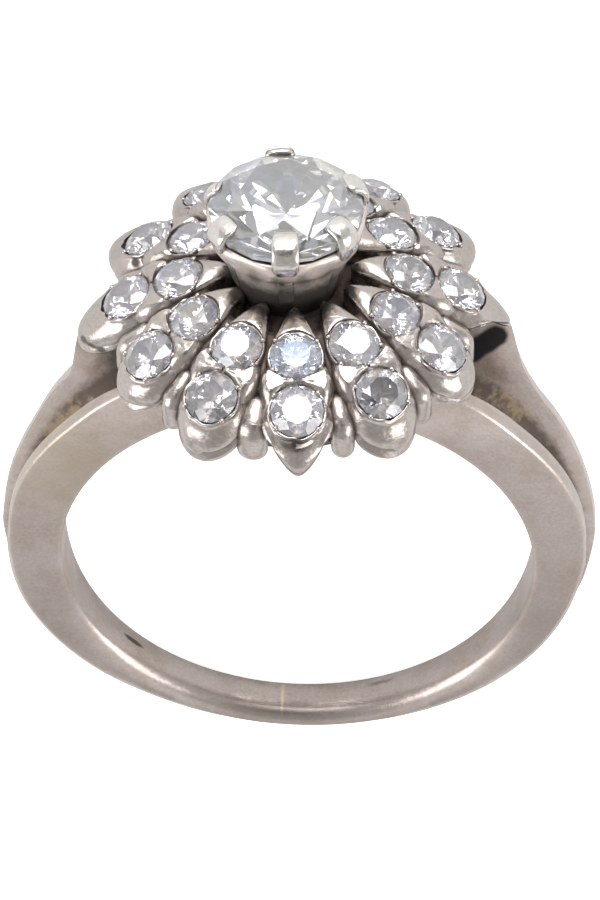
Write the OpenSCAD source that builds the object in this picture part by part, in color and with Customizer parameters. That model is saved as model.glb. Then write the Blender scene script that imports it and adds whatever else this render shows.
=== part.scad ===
// A domed flower cluster ring with a split band: one large brilliant in a six-prong basket,
// twelve pointed petals with two small brilliants each, and a small rounded bar between petals.
// Millimetres. Every part is drawn upright first, with the finger along Y, the flower towards +Z
// and the finger hole's centre at the origin. lying() then lays the whole ring down on its side.

/* [Band] */
// Inner diameter, where the finger goes
finger_d = 17; // [15:0.1:20]
// Thickness at the bottom of the band
band_t = 0.75; // [0.6:0.05:1.2]
// Thickness at the sides and shoulders
shoulder_t = 2.1; // [1.7:0.05:2.4]
// Width at the bottom of the band
band_w = 1.14; // [1:0.02:1.6]
// Width half way up, at the two sides
side_w = 1.96; // [1.7:0.02:2.2]
// Width under the flower, over both branches
shoulder_w = 3.8; // [3.4:0.1:4.2]
// Width of each branch beside the groove, on average
branch_w = 0.6; // [0.55:0.01:0.65]
// Thickness of the floor left under the groove
floor_t = 1.2; // [1:0.05:1.4]

/* [Flower] */
// Distance of the outer stones from the flower's axis
outer_ring_r = 5.85; // [5.75:0.05:6]
// Height of the outer stones above the finger's axis
outer_ring_z = 12.35; // [12.2:0.05:12.6]
// Distance of the inner stones from the flower's axis
inner_ring_r = 4.05; // [3.95:0.05:4.1]
// Distance of the petals' points from the flower's axis
petal_tip_r = 2; // [1.9:0.05:2.2]
// Radius of the petals' domed top
dome_r = 11.7; // [11.4:0.1:12.4]
// Turn of the flower about its axis, degrees
flower_turn = 3.4; // [0:0.1:6]

/* [Stones] */
// Diameter of the centre stone
centre_d = 5.4; // [5:0.1:5.6]
// Diameter of each outer stone
outer_d = 1.85; // [1.7:0.05:1.9]
// Diameter of each inner stone
inner_d = 1.8; // [1.6:0.05:1.8]
// Height of the centre stone's girdle above the finger's axis
centre_z = 16.4; // [16.2:0.05:16.8]
// Sideways lean of the basket, seen from the front
centre_lean = -0.22; // [-0.3:0.02:0.3]

/* [Hidden] */
petal_count = 12;
function two_digits(i) = i < 10 ? str("0", i) : str(i);
function stone_name(row, i) = str(row, "_stone_", two_digits(i));
$fn = 48;

// How the ring lies: on the rim of its back petal and the back edge of the band's bottom
rest_pitch = 17.65;
rest_roll = -1.7;
rest_x = -0.004;
rest_y = 3.978;
rest_z = 3.364;

white_gold = "silver";
diamond = "aliceblue";

eps = 0.01;
far = 30;
finger_r = finger_d / 2;
stone_gap = 0.03;

// The band's outer line is round about the finger at the shoulders, and below them it is a larger
// circle set higher, so that the band thins evenly towards the bottom.
shoulder_r = finger_r + shoulder_t;
bottom_r = finger_r + band_t;
side_r = shoulder_r - 0.05;
outer_shift = (side_r * side_r - bottom_r * bottom_r) / (2 * bottom_r);
outer_r = bottom_r + outer_shift;
shoulder_lift = 0.12;

// The dome's centre lies on the flower's axis, so that its surface passes through the outer girdles
dome_z = outer_ring_z - sqrt(dome_r * dome_r - outer_ring_r * outer_ring_r);
function dome_height(r) = dome_z + sqrt(dome_r * dome_r - r * r);
function dome_tilt(r) = asin(r / dome_r);
petal_step = 360 / petal_count;

// Each petal is a pointed leaf in plan, with a round rim about each of its two stones
inner_rim_r = inner_d / 2 + 0.1;
outer_rim_r = outer_d / 2 + 0.34;
outer_rim_x = outer_ring_r - 0.05;
petal_tangent = asin(inner_rim_r / (inner_ring_r - petal_tip_r));
petal_end_r = outer_rim_x + outer_rim_r;
// Share of a rim's radius at which the petal's straight sides run into it
side_meets = 0.98;
// The metal stands this much above the small stones' girdles
metal_rise = 0.05;
petal_t = 1.02;
// The petals' ends draw in this much, as a radius about the flower's axis, from their top down
wall_top_z = dome_height(petal_end_r) + 0.3;
wall_low_z = wall_top_z - 2;
wall_taper = 0.3;
cup_from_z = 9;
cup_h = 6;
dish_t = 0.4;
dish_lap = 0.1;
dish_r = 5.95;
drum_r = 4.6;
drum_t = 0.6;
drum_z = 9.3;

// What is cut away at one side of the front petal's pointed wall, as [half width, height]
point_cut = [
    [0.04, 10.3], [0.34, 10.55], [0.74, 11.15], [1, 11.7], [1.25, 12.3], [2.2, 12.3], [2.2, cup_from_z]
];
// Distance from the flower's axis at which that cut starts
point_cut_from = outer_rim_x + 0.25;

// Small rounded bars between the petals' round ends
bar_r = 0.42;
bar_x = 6.02;
bar_inner_x = 5.2;
bar_drop = 0.9;
bar_bottom_z = dome_height(petal_end_r) - 0.95;

// Cut of the brilliants, as shares of the diameter
table_share = 0.57;
crown_share = 0.15;
pavilion_share = 0.43;
girdle_share = 0.015;
star_share = 0.4;
lower_share = 0.14;
half_facet = 180 / 8;
function table_height(d) = (girdle_share + crown_share) * d;
function star_height(d) =
    table_height(d) - (2 * star_share * cos(half_facet) - table_share) * d * crown_share / (1 - table_share);
azure_r = 0.4;
azure_depth = 1.55;

// Basket of the centre stone
stem_r = 1.5;
stem_z = 11.9;
cone_z = 13.8;
cone_top_r = 2.62;
cone_top_z = centre_z - 0.25;
basket_hole_r = 0.7;
// Directions of the six hand-set prongs, from the front towards the right
prong_turns = [2, 52, 111, 184, 254, 303];
prong_w = 0.88;
prong_t = 0.36;
prong_foot_z = cone_z + 0.4;
prong_bend_z = centre_z + 0.1;
prong_crest_z = centre_z + 0.38;
prong_top_z = centre_z + 0.55;
prong_crest_r = centre_d / 2 + 0.1;
prong_reach_r = centre_d / 2 - 0.46;

// A skirt closes the space below the left side petal; the right one is left open
skirt_r = outer_rim_r - 0.14;
skirt_t = 0.3;
skirt_z = 9.4;
skirt_h = 1.8;
skirt_from_x = 6.1;

// Horns that carry the back branch of each shoulder up to the side petals, from the front
horn_profile = [
    [9.3, 5], [8.72, 6.02], [8.12, 7.05], [7.8, 8], [7.62, 9], [7.4, 9.9], [7.05, 10.6],
    [6.2, 10.7], [6.6, 9.9], [7, 9.1], [6.3, 8.2], [7.3, 5.4]
];

// Widths of the band seen from the side, as rows of [height, half width]
band_rows = [
    [-far, band_w / 2],
    [-6.5, band_w / 2],
    [-3, (band_w + side_w) / 4 - 0.06],
    [0, side_w / 2],
    [9.2, shoulder_w / 2 - 0.1],
    [shoulder_r, shoulder_w / 2 - 0.6],
    [far, shoulder_w / 2 - 0.6]
];
groove_start = -1.7;
// The groove runs a little nearer the front than the middle
groove_shift = -0.15;
groove_rows = [
    [groove_start, 0.02],
    [0, side_w / 2 - branch_w],
    [9.2, shoulder_w / 2 - branch_w - 0.1],
    [shoulder_r, shoulder_w / 2 - branch_w - 0.6],
    [far, shoulder_w / 2 - branch_w - 0.6]
];

module along_finger(r) rotate([90, 0, 0]) cylinder(r = r, h = far, center = true, $fn = 160);

// Closes a half outline of [half width, height] points with its mirror image
function both_sides(half) = concat(half, [for (i = [len(half) - 1:-1:0]) [-half[i][0], half[i][1]]]);

// A slab across the whole ring whose width follows the rows
module width_slab(rows) {
    rotate([90, 0, 90])
        linear_extrude(height = 2 * far, center = true)
            polygon(both_sides([for (row = rows) [row[1], row[0]]]));
}

module horn() {
    translate([0, shoulder_w / 2, 0])
        rotate([90, 0, 0])
            linear_extrude(height = shoulder_w / 2)
                polygon(horn_profile);
}

module band() {
    difference() {
        intersection() {
            union() {
                intersection() {
                    translate([0, 0, shoulder_lift]) along_finger(shoulder_r);
                    translate([0, 0, outer_shift]) along_finger(outer_r);
                }
                horn();
                mirror([1, 0, 0]) horn();
            }
            width_slab(band_rows);
        }
        difference() {
            translate([0, groove_shift, 0]) width_slab(groove_rows);
            along_finger(finger_r + floor_t);
        }
    }
}

module dome_ball(r) translate([0, 0, dome_z]) sphere(r = r, $fn = 160);

module petal_outline() {
    meet = inner_rim_r * side_meets;
    shoulder = [inner_ring_r - meet * sin(petal_tangent), meet * cos(petal_tangent)];
    end = [outer_rim_x, outer_rim_r * side_meets];
    translate([inner_ring_r, 0]) circle(r = inner_rim_r);
    translate([outer_rim_x, 0]) circle(r = outer_rim_r);
    polygon([[petal_tip_r, 0], shoulder, end, [end[0], -end[1]], [shoulder[0], -shoulder[1]]]);
}

// Places children, which point along +X, at every petal in turn; petal 1 faces the front
module round_flower(offset_steps = 0) {
    for (i = [1:petal_count])
        rotate([0, 0, flower_turn - 90 + (i - 1 + offset_steps) * petal_step])
            children();
}

module petals() {
    difference() {
        intersection() {
            translate([0, 0, cup_from_z]) linear_extrude(height = cup_h) round_flower() petal_outline();
            dome_ball(dome_r + metal_rise);
            union() {
                translate([0, 0, wall_low_z])
                    cylinder(r1 = petal_end_r - wall_taper, r2 = petal_end_r + eps, h = wall_top_z - wall_low_z);
                translate([0, 0, wall_top_z - eps]) cylinder(r = petal_end_r + eps, h = cup_h);
                rotate([0, 0, flower_turn])
                    translate([-outer_rim_r, -petal_end_r - eps, wall_low_z]) cube([2 * outer_rim_r, outer_rim_r, cup_h]);
            }
        }
        dome_ball(dome_r + metal_rise - petal_t);
        front_point();
    }
}

// Cuts the front petal's wall to a point below, from both sides
module front_point() {
    rotate([0, 0, flower_turn])
        translate([0, -point_cut_from, 0])
            rotate([90, 0, 0])
                linear_extrude(height = outer_rim_r + 1)
                    polygon(both_sides(point_cut));
}

// A dished plate under the petals and a low drum that carries them on the shoulders
module gallery() {
    dish_top = dome_r + metal_rise - petal_t + dish_lap;
    intersection() {
        difference() {
            dome_ball(dish_top);
            dome_ball(dish_top - dish_t);
        }
        translate([0, 0, drum_z]) cylinder(r = dish_r, h = cup_h);
    }
    intersection() {
        translate([0, 0, drum_z])
            difference() {
                cylinder(r = drum_r, h = cup_h);
                translate([0, 0, -eps]) cylinder(r = drum_r - drum_t, h = cup_h + 2 * eps);
            }
        dome_ball(dish_top - dish_t / 2);
    }
}

module bar() {
    top_z = dome_height(bar_x) - bar_drop;
    inner_z = dome_height(bar_inner_x) - bar_drop;
    slope = atan2(inner_z - top_z, bar_x - bar_inner_x);
    run = norm([inner_z - top_z, bar_x - bar_inner_x]);
    translate([bar_x, 0, bar_bottom_z]) {
        sphere(r = bar_r);
        cylinder(r = bar_r, h = top_z - bar_bottom_z);
    }
    translate([bar_x, 0, top_z]) {
        sphere(r = bar_r);
        rotate([0, slope - 90, 0]) {
            cylinder(r = bar_r, h = run);
            translate([0, 0, run]) sphere(r = bar_r);
        }
    }
}

module side_skirt() {
    rotate([0, 0, flower_turn + 180])
        translate([outer_rim_x, 0, skirt_z])
            difference() {
                cylinder(r = skirt_r, h = skirt_h);
                translate([0, 0, -eps]) cylinder(r = skirt_r - skirt_t, h = skirt_h + 2 * eps);
                translate([skirt_from_x - outer_rim_x - far, -far / 2, -eps]) cube([far, far, skirt_h + 2 * eps]);
            }
}

module basket() {
    translate([centre_lean, 0, 0]) {
        rotate_extrude()
            polygon([
                [0, stem_z], [stem_r, stem_z], [stem_r, cone_z], [cone_top_r, cone_top_z], [0, cone_top_z]
            ]);
        for (turn = prong_turns) rotate([0, 0, turn - 90]) prong();
    }
}

// One prong stands on the cone and bends over the stone's edge
module prong() {
    rotate([90, 0, 0])
        linear_extrude(height = prong_w, center = true)
            polygon([
                [stem_r, prong_foot_z],
                [stem_r + prong_t, prong_foot_z],
                [cone_top_r + prong_t, cone_top_z],
                [cone_top_r + prong_t, prong_bend_z],
                [prong_crest_r, prong_crest_z],
                [prong_reach_r, prong_top_z],
                [prong_reach_r, cone_top_z - prong_t]
            ]);
}

// Space for a brilliant of diameter d, with an open hole below it
module stone_room(d, open_above, hole_r, hole_depth) {
    r = d / 2 + stone_gap;
    girdle = girdle_share * d + stone_gap;
    crown = table_height(d) + stone_gap;
    cone_end = -girdle - (r - hole_r) * 2 * pavilion_share;
    above = open_above
        ? [[r, d], [0, d]]
        : [[r, girdle], [star_share * d + stone_gap, star_height(d) + stone_gap],
           [table_share * d / 2 + stone_gap, crown], [0, crown]];
    rotate_extrude()
        polygon(concat(
            [[0, -hole_depth], [hole_r, -hole_depth], [hole_r, cone_end], [r, -girdle]],
            above
        ));
}

module at_ring(r, i) {
    rotate([0, 0, flower_turn - 90 + (i - 1) * petal_step])
        translate([r, 0, dome_height(r)])
            rotate([0, dome_tilt(r), 0])
                children();
}

module at_centre() translate([centre_lean, 0, centre_z]) children();

module seats() {
    for (i = [1:petal_count]) {
        at_ring(inner_ring_r, i) stone_room(inner_d, true, azure_r, azure_depth);
        at_ring(outer_ring_r, i) stone_room(outer_d, true, azure_r, azure_depth);
    }
    at_centre() stone_room(centre_d, false, basket_hole_r, centre_z - stem_z + eps);
}

module ring_metal() {
    color(white_gold)
        difference() {
            union() {
                band();
                petals();
                gallery();
                round_flower(0.5) bar();
                side_skirt();
                basket();
            }
            seats();
            along_finger(finger_r);
        }
}

// A round brilliant: an eight-sided table, eight stars, eight kites and sixteen upper halves above
// the girdle, and sixteen lower halves and eight mains below it
module brilliant(d) {
    r = d / 2;
    table_r = table_share * r;
    girdle = girdle_share * d;
    culet_z = -girdle - pavilion_share * d;
    lower_r = lower_share * d;
    lower_z = -girdle - (r - lower_r * cos(half_facet)) * pavilion_share * 2;
    function ring(count, radius, z, turn) =
        [for (k = [0:count - 1]) [radius * cos(k * 360 / count + turn), radius * sin(k * 360 / count + turn), z]];
    points = concat(
        ring(8, table_r, table_height(d), 0), ring(8, star_share * d, star_height(d), half_facet),
        ring(16, r, girdle, 0), ring(16, r, -girdle, 0),
        ring(8, lower_r, lower_z, half_facet), [[0, 0, culet_z]]
    );
    star = 8;
    top = 16;
    under = 32;
    low = 48;
    culet = 56;
    faces = concat(
        [[7, 6, 5, 4, 3, 2, 1, 0]],
        [for (k = [0:7]) [k, (k + 1) % 8, star + k]],
        [for (k = [0:7]) [k, star + k, top + 2 * k, star + (k + 7) % 8]],
        [for (k = [0:7]) [star + k, top + 2 * k + 1, top + 2 * k]],
        [for (k = [0:7]) [star + k, top + (2 * k + 2) % 16, top + 2 * k + 1]],
        [for (j = [0:15]) [top + j, top + (j + 1) % 16, under + (j + 1) % 16, under + j]],
        [for (k = [0:7]) [low + k, under + 2 * k, under + 2 * k + 1]],
        [for (k = [0:7]) [low + k, under + 2 * k + 1, under + (2 * k + 2) % 16]],
        [for (k = [0:7]) [low + (k + 7) % 8, under + 2 * k, low + k, culet]]
    );
    polyhedron(points = points, faces = faces);
}

module centre_stone() color(diamond) at_centre() brilliant(centre_d);
module inner_stone(i) color(diamond) at_ring(inner_ring_r, i) brilliant(inner_d);
module outer_stone(i) color(diamond) at_ring(outer_ring_r, i) brilliant(outer_d);

// Lays the upright ring on its back side, with the flower towards -Y
module lying() {
    translate([rest_x, rest_y, rest_z])
        rotate([0, 0, 180])
            rotate([0, rest_roll, 0])
                rotate([rest_pitch - 90, 0, 0])
                    children();
}

lying() ring_metal();
lying() centre_stone();
for (i = [1:petal_count]) {
    lying() inner_stone(i);
    lying() outer_stone(i);
}
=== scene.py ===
from math import asin, atan2, copysign, cos, degrees, hypot, pi, radians, sin, sqrt

import bmesh
import bpy
from mathutils import Matrix, Vector


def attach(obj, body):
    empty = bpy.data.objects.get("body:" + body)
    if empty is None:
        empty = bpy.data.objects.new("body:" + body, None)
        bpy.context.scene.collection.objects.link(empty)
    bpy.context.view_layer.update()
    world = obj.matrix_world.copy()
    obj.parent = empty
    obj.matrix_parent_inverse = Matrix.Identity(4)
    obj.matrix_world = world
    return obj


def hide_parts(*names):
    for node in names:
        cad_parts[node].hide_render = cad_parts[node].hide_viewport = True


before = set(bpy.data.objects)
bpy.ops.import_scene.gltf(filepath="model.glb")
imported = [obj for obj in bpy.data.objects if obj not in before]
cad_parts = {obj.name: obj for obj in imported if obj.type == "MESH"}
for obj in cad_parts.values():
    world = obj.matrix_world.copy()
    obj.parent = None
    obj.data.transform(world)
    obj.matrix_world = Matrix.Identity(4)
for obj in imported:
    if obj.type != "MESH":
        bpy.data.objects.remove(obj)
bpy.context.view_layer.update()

# The ring is modelled upright in millimetres, with the finger along Y, the flower towards +Z and
# the finger hole's centre at the origin, and is then laid down on its side as the solids lie.
restPose = {"pitch": 17.65, "roll": -1.7, "spot": (-0.004, 3.978, 3.364)}
millimetre = 0.001
layDown = (
    Matrix.Translation(Vector(restPose["spot"]) * millimetre)
    @ Matrix.Rotation(radians(180), 4, "Z")
    @ Matrix.Rotation(radians(restPose["roll"]), 4, "Y")
    @ Matrix.Rotation(radians(restPose["pitch"] - 90), 4, "X")
    @ Matrix.Scale(millimetre, 4)
)

# Camera, in the upright ring's own frame; clipStart is in metres
cameraView = {
    "azimuth": 3.031, "elevation": 45.345, "roll": -1.021, "distance": 250, "aim": (0, 0, 3),
    "slideRight": 0.095, "slideUp": 1.092, "lens": 279.2, "sensor": 36, "clipStart": 0.01,
}


def addObject(name, data):
    made = bpy.data.objects.new(name, data)
    bpy.context.scene.collection.objects.link(made)
    return made


def placeCamera(view):
    az, el, roll = (radians(view[key]) for key in ("azimuth", "elevation", "roll"))
    back = Vector((sin(az) * cos(el), -cos(az) * cos(el), sin(el)))
    level = (-back).cross(Vector((0, 0, 1))).normalized()
    rise = level.cross(-back)
    right = level * cos(roll) + rise * sin(roll)
    up = rise * cos(roll) - level * sin(roll)
    spot = Vector(view["aim"]) + back * view["distance"] + right * view["slideRight"] + up * view["slideUp"]
    turn = layDown.to_3x3().normalized() @ Matrix((right, up, back)).transposed()
    data = bpy.data.cameras.new("photoCamera")
    data.lens = view["lens"]
    data.sensor_width = view["sensor"]
    data.clip_start = view["clipStart"]
    camera = addObject("photoCamera", data)
    camera.matrix_world = Matrix.Translation(layDown @ spot) @ turn.to_4x4()
    bpy.context.scene.camera = camera


placeCamera(cameraView)
print("camera placed")


def meshFrom(name, bm):
    mesh = bpy.data.meshes.new(name)
    bm.to_mesh(mesh)
    bm.free()
    return mesh


def finishPiece(name, bm, material, bevel=None, merge=0.002):
    bmesh.ops.remove_doubles(bm, verts=bm.verts, dist=merge)
    bmesh.ops.recalc_face_normals(bm, faces=bm.faces)
    bmesh.ops.transform(bm, matrix=layDown, verts=bm.verts)
    for face in bm.faces:
        face.smooth = True
    piece = addObject(name, meshFrom(name, bm))
    piece.data.materials.append(material)
    if bevel:
        width, segments, angle = bevel
        mod = piece.modifiers.new("edges", "BEVEL")
        mod.width = width * millimetre
        mod.segments = segments
        mod.limit_method = "ANGLE"
        mod.angle_limit = radians(angle)
        mod = piece.modifiers.new("shading", "WEIGHTED_NORMAL")
        mod.keep_sharp = True
    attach(piece, "root")
    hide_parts("ring_metal")


def spinProfile(bm, points, steps):
    # Spins a profile of (radius, height) round the upright axis
    verts = [bm.verts.new((r, 0, z)) for r, z in points]
    edges = [bm.edges.new(pair) for pair in zip(verts, verts[1:])]
    bmesh.ops.spin(bm, geom=verts + edges, axis=(0, 0, 1), angle=2 * pi, steps=steps, use_merge=True)


def joinPart(bm, part, place=None):
    if place:
        bmesh.ops.transform(part, matrix=place, verts=part.verts)
    bmesh.ops.recalc_face_normals(part, faces=part.faces)
    mesh = meshFrom("part", part)
    bm.from_mesh(mesh)
    bpy.data.meshes.remove(mesh)


def clamped(share):
    return min(1.0, max(0.0, share))


def between(rows, x):
    if x <= rows[0][0]:
        return rows[0][1]
    for (a, low), (b, high) in zip(rows, rows[1:]):
        if x <= b:
            return low + (high - low) * (x - a) / (b - a)
    return rows[-1][1]


def eased(rows, x, blur=1.6, taps=4):
    # As between(), with its corners rounded off over a stretch of the rows
    steps = range(-taps, taps + 1)
    return sum(between(rows, x + blur * k / taps) for k in steps) / len(steps)


def feed(tree, socket, value):
    if isinstance(value, bpy.types.NodeSocket):
        tree.links.new(value, socket)
    else:
        socket.default_value = value


def fill(tree, node, values):
    for key, value in values.items():
        feed(tree, node.inputs[key], value)


def put(tree, kind, values, **settings):
    node = tree.nodes.new(kind)
    for key, value in settings.items():
        setattr(node, key, value)
    fill(tree, node, values)
    return node


def calc(tree, operation, first, second=0.0, third=None, clamp=False):
    values = {0: first, 1: second}
    if third is not None:
        values[2] = third
    return put(tree, "ShaderNodeMath", values, operation=operation, use_clamp=clamp).outputs[0]


def calcVector(tree, operation, first, second=None):
    values = {0: first} if second is None else {0: first, 1: second}
    result = "Value" if operation in ("LENGTH", "DOT_PRODUCT") else "Vector"
    return put(tree, "ShaderNodeVectorMath", values, operation=operation).outputs[result]


def blend(tree, factor, first, second, mode="MIX"):
    values = {0: factor, 6: first, 7: second}   # 6 and 7 are the inputs for colours
    return put(tree, "ShaderNodeMix", values, data_type="RGBA", blend_type=mode).outputs[2]


def spread(tree, value, low, high, toLow=0.0, toHigh=1.0):
    values = {"Value": value, "From Min": low, "From Max": high, "To Min": toLow, "To Max": toHigh}
    return put(tree, "ShaderNodeMapRange", values, interpolation_type="SMOOTHSTEP").outputs["Result"]


def noise(tree, place, scale, detail, rough=0.55):
    values = {"Vector": place, "Scale": scale, "Detail": detail, "Roughness": rough}
    return put(tree, "ShaderNodeTexNoise", values).outputs["Fac"]


def newGroup(name, inputs, outputs):
    group = bpy.data.node_groups.new(name, "ShaderNodeTree")
    for label, value in inputs.items():
        kind = "NodeSocketVector" if isinstance(value, tuple) else "NodeSocketFloat"
        group.interface.new_socket(label, in_out="INPUT", socket_type=kind).default_value = value
    for label in outputs:
        group.interface.new_socket(label, in_out="OUTPUT", socket_type="NodeSocketFloat")
    return group, group.nodes.new("NodeGroupInput").outputs, group.nodes.new("NodeGroupOutput").inputs


origin = (0, 0, 0)

# Noises are [scale, detail, roughness], and edges [where the mask is 0, where it is 1]
effects = {
    "toneNoise": (5.0, 0.6), "grainNoise": (3.0, 0.6),   # without their scales
    # hair scratches as [turn, scale]
    "scratches": [((0.4, 0.9, 0.2), (0.5, 9, 16)), ((1.3, 0.2, 1.9), (0.7, 14, 10))],
    "scratchDetail": 2.0, "scratchEdge": (0.64, 0.74),
    "dirtAndShadeNoise": (3.0, 4.0), "dirtAndShadeUneven": 0.5,
    "rubbedEdgeHighlight": (0.995, 0.93),
    "spotNoise": (3.5, 5.0, 0.65),
}

# Dirt and painted shade in the groove, darker deeper down, with a yellow part that is dirt; the groove's
# edges by radius, by distance from the ring's middle plane and by height
grooveDirtAndShade = {
    "noise": (2.2, 4.0, 0.65), "uneven": 0.5, "fade": 0.45, "floor": (8.9, 9.15), "side": (1.35, 1.1),
    "low": (0.8, 3.0),
    # the yellow part lies round a height that leans with X
    "yellowZ": 6.05, "yellowLean": -0.065, "yellowFade": (1.3, 0.5), "yellowGain": 0.26,
    "yellowNoise": (1.6, 4.0, 0.6), "yellowEdge": (0.62, 0.82),
    "strength": 0.9, "dark": (0.085, 0.06, 0.045, 1), "yellow": (0.3, 0.225, 0.13, 1),
}


def makeGrainGroup():
    # Cloudy tone, fine grain and hair scratches of worn metal; Place is in millimetres
    inputs = {"Place": origin, "Cloud": 1.2, "Grain": 9.0}
    group, given, out = newGroup("wornGrain", inputs, ["Tone", "Grain", "Scratches"])
    place = given["Place"]
    feed(group, out["Tone"], noise(group, place, given["Cloud"], *effects["toneNoise"]))
    feed(group, out["Grain"], noise(group, place, given["Grain"], *effects["grainNoise"]))
    lines = []
    for turn, scale in effects["scratches"]:
        values = {"Vector": place, "Rotation": turn, "Scale": scale}
        drawn = put(group, "ShaderNodeMapping", values).outputs[0]
        line = noise(group, drawn, 1.0, effects["scratchDetail"])
        lines.append(spread(group, line, *effects["scratchEdge"]))
    feed(group, out["Scratches"], calc(group, "MAXIMUM", *lines))
    return group


def makeDirtAndShadeGroup():
    # Dirt and painted shade that gather where surfaces meet, found by ambient occlusion; Reach is in metres
    inputs = {"Place": origin, "Reach": 0.0005, "Open": 0.75, "Full": 0.25}
    group, given, out = newGroup("recessDirtAndShade", inputs, ["Mask"])
    shade = put(group, "ShaderNodeAmbientOcclusion", {"Distance": given["Reach"]}, samples=6).outputs["AO"]
    ragged = noise(group, given["Place"], *effects["dirtAndShadeNoise"])
    uneven = calc(group, "MULTIPLY_ADD", ragged, effects["dirtAndShadeUneven"], -effects["dirtAndShadeUneven"] / 2)
    feed(group, out["Mask"], spread(group, calc(group, "ADD", shade, uneven), given["Open"], given["Full"]))
    return group


def makeWearHighlightGroup():
    # Edges that rubbing has changed, given a lighter colour as a painted highlight; Width is in metres
    group, given, out = newGroup("rubbedEdgeHighlight", {"Width": 0.00008}, ["Mask"])
    rounded = put(group, "ShaderNodeBevel", {"Radius": given["Width"]}, samples=4).outputs["Normal"]
    plain = group.nodes.new("ShaderNodeNewGeometry").outputs["Normal"]
    alike = calcVector(group, "DOT_PRODUCT", rounded, plain)
    feed(group, out["Mask"], spread(group, alike, *effects["rubbedEdgeHighlight"]))
    return group


def makeSpotGroup():
    # A stain or patch of painted shade with a ragged edge round a point; Place, Centre and Radius are in
    # millimetres
    inputs = {"Place": origin, "Centre": origin, "Stretch": (1, 1, 1), "Radius": 1.0, "Ragged": 0.5,
              "Core": 0.55}
    group, given, out = newGroup("raggedSpot", inputs, ["Mask"])
    away = calcVector(group, "SUBTRACT", given["Place"], given["Centre"])
    gap = calcVector(group, "LENGTH", calcVector(group, "MULTIPLY", away, given["Stretch"]))
    uneven = calc(group, "SUBTRACT", noise(group, given["Place"], *effects["spotNoise"]), 0.5)
    edge = calc(group, "MULTIPLY", uneven, given["Ragged"])
    gap = calc(group, "ADD", calc(group, "DIVIDE", gap, given["Radius"]), edge)
    feed(group, out["Mask"], spread(group, gap, 1.0, given["Core"]))
    return group


def makeGrooveGroup():
    # Old dirt and painted shade low in the groove between the band's branches, darker deeper down; the yellow
    # part is dirt
    group, given, out = newGroup("grooveDirtAndShade", {"Place": origin, "Top": 10.45}, ["Mask", "Yellow"])
    look, place, top = grooveDirtAndShade, given["Place"], given["Top"]
    split = put(group, "ShaderNodeSeparateXYZ", {0: place}).outputs
    radius = calcVector(group, "LENGTH", calcVector(group, "MULTIPLY", place, (1, 0, 1)))
    uneven = calc(group, "SUBTRACT", noise(group, place, *look["noise"]), 0.5)
    radius = calc(group, "MULTIPLY_ADD", uneven, look["uneven"], radius)
    mask = spread(group, radius, top, calc(group, "SUBTRACT", top, look["fade"]))
    for value, key in ((radius, "floor"), (calc(group, "ABSOLUTE", split["Y"]), "side"), (split["Z"], "low")):
        mask = calc(group, "MULTIPLY", mask, spread(group, value, *look[key]))
    feed(group, out["Mask"], mask)
    offMiddle = calc(group, "MULTIPLY_ADD", split["X"], look["yellowLean"], split["Z"])
    offMiddle = calc(group, "ABSOLUTE", calc(group, "SUBTRACT", offMiddle, look["yellowZ"]))
    around = spread(group, offMiddle, *look["yellowFade"], 0.0, look["yellowGain"])
    patchy = calc(group, "ADD", noise(group, place, *look["yellowNoise"]), around)
    feed(group, out["Yellow"], spread(group, patchy, *look["yellowEdge"]))
    return group


grainGroup, dirtAndShadeGroup, wearHighlightGroup = makeGrainGroup(), makeDirtAndShadeGroup(), makeWearHighlightGroup()
spotGroup, grooveGroup = makeSpotGroup(), makeGrooveGroup()

# Shared by the finishes; reach, edge and bumpDistance are in metres
metalBase = {
    "grain": 7.0, "cloud": 1.5, "speckle": 0.08, "bump": 0.16, "bumpDistance": 0.00006, "reach": 0.0005,
    # the recess colour and its shares stand for dirt and painted shade where surfaces meet
    "dirtAndShade": (0.03, 0.021, 0.018), "dirtAndShadeShare": 0.9, "dirtAndShadeRough": 0.3, "dirtAndShadeDulls": 0.6,
    # the rubbed colour is the lighter colour of worn edges, partly a painted highlight
    "edge": 0.00008, "rubbedHighlight": (0.66, 0.6, 0.55), "wearHighlightShare": 0.4, "rub": 0.08,
    "toneEdge": (0.35, 0.7), "toneRough": 0.16, "grainEdge": (0.3, 0.75), "scratchDepth": 0.7,
    "waveNoise": (1.3, 2.0), "waveHeight": 3.0,
}
metalFinish = {
    "satinWhiteGold": {
        "colour": (0.5, 0.436, 0.412), "warm": (0.418, 0.354, 0.311), "rough": 0.32, "grain": 9.0,
        "cloud": 0.6, "bump": 0.12, "wave": 1.1, "rub": -0.16, "edge": 0.0003, "groove": 10.45,
        "reach": 0.0013, "open": 0.8, "full": 0.28, "dirtAndShade": (0.075, 0.053, 0.042),
    },
    "polishedWhiteGold": {
        "colour": (0.45, 0.41, 0.392), "warm": (0.42, 0.37, 0.335), "rough": 0.25, "cloud": 1.6, "wave": 2.0,
        "wearHighlightShare": 0.1, "reach": 0.00045, "open": 0.82, "full": 0.3, "dirtAndShade": (0.055, 0.041, 0.036),
    },
    "railWhiteGold": {
        "colour": (0.68, 0.61, 0.57), "warm": (0.62, 0.54, 0.48), "rough": 0.36,
        "speckle": 0.06, "bump": 0.15, "wave": 1.5, "open": 0.6, "full": 0.15,
    },
    "prongWhiteGold": {
        "colour": (0.62, 0.595, 0.57), "warm": (0.56, 0.525, 0.48), "rough": 0.22,
        "wave": 2.4, "open": 0.7, "full": 0.2,
    },
    # painted shade: the dish, drum and web under the flower are coloured dark so that the gaps between the
    # petals show black
    "recessPaintedShade": {
        "colour": (0.17, 0.135, 0.12), "warm": (0.11, 0.08, 0.065), "rough": 0.6, "grain": 6.0, "cloud": 1.4,
        "speckle": 0.1, "bump": 0.3, "wave": 0.4, "open": 0.8, "full": 0.3,
    },
}


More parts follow.
